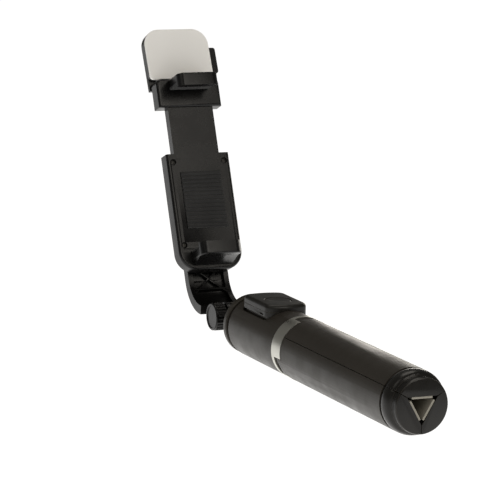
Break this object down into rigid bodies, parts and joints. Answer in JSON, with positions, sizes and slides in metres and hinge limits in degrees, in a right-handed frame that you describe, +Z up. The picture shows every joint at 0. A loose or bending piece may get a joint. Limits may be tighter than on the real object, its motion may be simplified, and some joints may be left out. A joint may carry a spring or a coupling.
{
  "type": "selfie stick",
  "caption": "Pocket selfie stick with fold-out tripod legs, telescopic pole, tilting arm, turning spring phone clamp, flip-up fill light and a lift-off remote.",
  "frame": {"origin": "centre of the closed feet's flat end face, on the pole's axis", "axes": "+Y along the pole from the feet to the head, +Z up through the remote, +X along the tilt hinge"},
  "size_m": [0.0364, 0.2766, 0.1379],
  "materials": {
    "handle_plastic": "satin",
    "black_plastic": "semi-gloss",
    "remote_plastic": "satin",
    "bright_trim": "brushed",
    "grey_liner": "satin",
    "soft_pad": "matte",
    "steel_tube": "polished",
    "steel": "turned",
    "diffuser": "frosted",
    "circuit_board": "lacquered",
    "diode": "clear",
    "cell_foil": "wrapped"
  },
  "bodies": {
    "handle": {"handle_shell": "handle_plastic", "shell_end_ring": "black_plastic", "leg_hub": "black_plastic", "trim_ring": "bright_trim", "leg_pins": "steel", "tube_1": "steel_tube"},
    "leg_1": {"leg_1": "handle_plastic", "foot_1": "handle_plastic", "leg_plate_1": "grey_liner"},
    "leg_2": {"leg_2": "handle_plastic", "foot_2": "handle_plastic", "leg_plate_2": "grey_liner"},
    "leg_3": {"leg_3": "handle_plastic", "foot_3": "handle_plastic", "leg_plate_3": "grey_liner"},
    "tube_2": {"tube_2": "steel_tube", "tube_bush_2": "black_plastic"},
    "tube_3": {"tube_3": "steel_tube", "tube_bush_3": "black_plastic"},
    "tube_4": {"tube_4": "steel_tube", "tube_bush_4": "black_plastic"},
    "head": {"tube_5": "steel_tube", "tube_bush_5": "black_plastic", "pole_head": "handle_plastic"},
    "arm": {"arm": "black_plastic", "hinge_nut": "steel", "hinge_washers": "steel", "swivel_washer": "steel"},
    "knob": {"hinge_knob": "black_plastic", "hinge_bolt": "steel"},
    "clamp": {"clamp_body": "black_plastic", "clamp_cover": "black_plastic", "cover_screws": "steel", "lower_pad": "soft_pad", "back_pad": "soft_pad", "swivel_screw": "steel"},
    "jaw": {"upper_jaw": "black_plastic", "upper_pad": "soft_pad", "light_pin": "steel", "jaw_springs": "steel"},
    "light": {"light_tray": "black_plastic", "light_diffuser": "diffuser", "light_board": "circuit_board", "light_diodes": "diode", "light_battery": "cell_foil"},
    "light_button": {"light_button": "black_plastic"},
    "remote": {"remote_base": "remote_plastic", "remote_cover": "remote_plastic", "remote_board": "circuit_board", "remote_battery": "cell_foil"},
    "remote_button": {"remote_button": "remote_plastic"}
  },
  "joints": [
    {"name": "leg_1_fold", "type": "hinge", "parent": "handle", "child": "leg_1", "pos_m": [0, 0.1125, 0.01105], "axis": [-1, 0, 0], "range_deg": [0, 68]},
    {"name": "leg_2_fold", "type": "hinge", "parent": "handle", "child": "leg_2", "pos_m": [0.00957, 0.1125, -0.00553], "axis": [0.5, 0, 0.866], "range_deg": [0, 68]},
    {"name": "leg_3_fold", "type": "hinge", "parent": "handle", "child": "leg_3", "pos_m": [-0.00957, 0.1125, -0.00553], "axis": [0.5, 0, -0.866], "range_deg": [0, 68]},
    {"name": "tube_2_slide", "type": "slide", "parent": "handle", "child": "tube_2", "axis": [0, 1, 0], "range_m": [0, 0.12]},
    {"name": "tube_3_slide", "type": "slide", "parent": "tube_2", "child": "tube_3", "axis": [0, 1, 0], "range_m": [0, 0.12]},
    {"name": "tube_4_slide", "type": "slide", "parent": "tube_3", "child": "tube_4", "axis": [0, 1, 0], "range_m": [0, 0.12]},
    {"name": "tube_5_slide", "type": "slide", "parent": "tube_4", "child": "head", "axis": [0, 1, 0], "range_m": [0, 0.12]},
    {"name": "arm_tilt", "type": "hinge", "parent": "head", "child": "arm", "pos_m": [0, 0.1913, 0], "axis": [1, 0, 0], "range_deg": [-125, 60]},
    {"name": "knob_turn", "type": "hinge", "parent": "arm", "child": "knob", "pos_m": [-0.0118, 0.1913, 0], "axis": [1, 0, 0], "continuous": true},
    {"name": "clamp_swivel", "type": "hinge", "parent": "arm", "child": "clamp", "pos_m": [0, 0.23079, 0.03005], "axis": [0, -0.9157, 0.4019], "range_deg": [-90, 90]},
    {"name": "jaw_slide", "type": "slide", "parent": "clamp", "child": "jaw", "axis": [0, 0.4019, 0.9157], "range_m": [-0.02, 0.012], "deforming": ["jaw_springs"]},
    {"name": "light_flip", "type": "hinge", "parent": "jaw", "child": "light", "pos_m": [0, 0.2611, 0.09264], "axis": [-1, 0, 0], "range_deg": [0, 170]},
    {"name": "light_button_press", "type": "slide", "parent": "light", "child": "light_button", "axis": [-1, 0, 0], "range_m": [0, 0.0008], "stiffness_N_per_m": 800, "springref_m": -0.001},
    {"name": "remote_lift", "type": "slide", "parent": "handle", "child": "remote", "axis": [0, 0, 1], "range_m": [0, 0.02]},
    {"name": "remote_button_press", "type": "slide", "parent": "remote", "child": "remote_button", "axis": [0, 0, -1], "range_m": [0, 0.0004], "stiffness_N_per_m": 800, "springref_m": -0.001}
  ]
}
